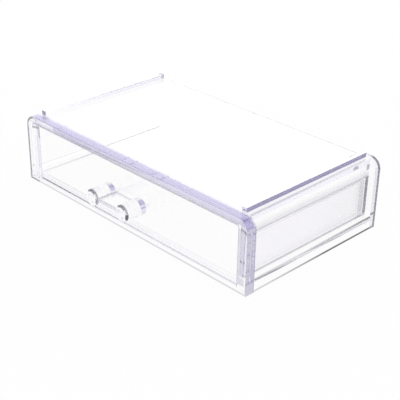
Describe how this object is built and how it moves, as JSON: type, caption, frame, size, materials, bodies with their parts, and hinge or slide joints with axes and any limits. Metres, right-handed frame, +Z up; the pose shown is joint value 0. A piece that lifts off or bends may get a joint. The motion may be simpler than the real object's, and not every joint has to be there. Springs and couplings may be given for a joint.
{
  "type": "desk organizer",
  "caption": "Low clear acrylic desk organizer box with a full-width sliding drawer, a dumbbell-shaped pull and stacking ribs on its flat top.",
  "frame": {"origin": "middle of the footprint on the table, with the pull counted in", "axes": "+X to the right of a person facing the drawer, +Y to the back, +Z up; the drawer opens along -Y"},
  "size_m": [0.24, 0.1586, 0.0595],
  "materials": {
    "clear_sheet": "clear polished acrylic sheet with faintly lavender edges",
    "clear_bar": "clear polished acrylic bar, lavender along its length",
    "clear_pull": "clear polished acrylic rod and bar"
  },
  "bodies": {
    "case": {"base_panel": "clear_sheet", "left_base_rail": "clear_bar", "right_base_rail": "clear_bar", "left_end_panel": "clear_sheet", "right_end_panel": "clear_sheet", "top_panel": "clear_sheet", "left_stacking_rib": "clear_bar", "right_stacking_rib": "clear_bar", "front_frame": "clear_sheet", "rear_panel": "clear_sheet"},
    "drawer": {"drawer_front": "clear_sheet", "drawer_floor": "clear_sheet", "drawer_left_wall": "clear_sheet", "drawer_right_wall": "clear_sheet", "drawer_back_wall": "clear_sheet", "pull_left_post": "clear_pull", "pull_right_post": "clear_pull", "pull_web": "clear_pull"}
  },
  "joints": [
    {"name": "drawer_slide", "type": "slide", "parent": "case", "child": "drawer", "axis": [0, -1, 0], "range_m": [0, 0.108]}
  ]
}
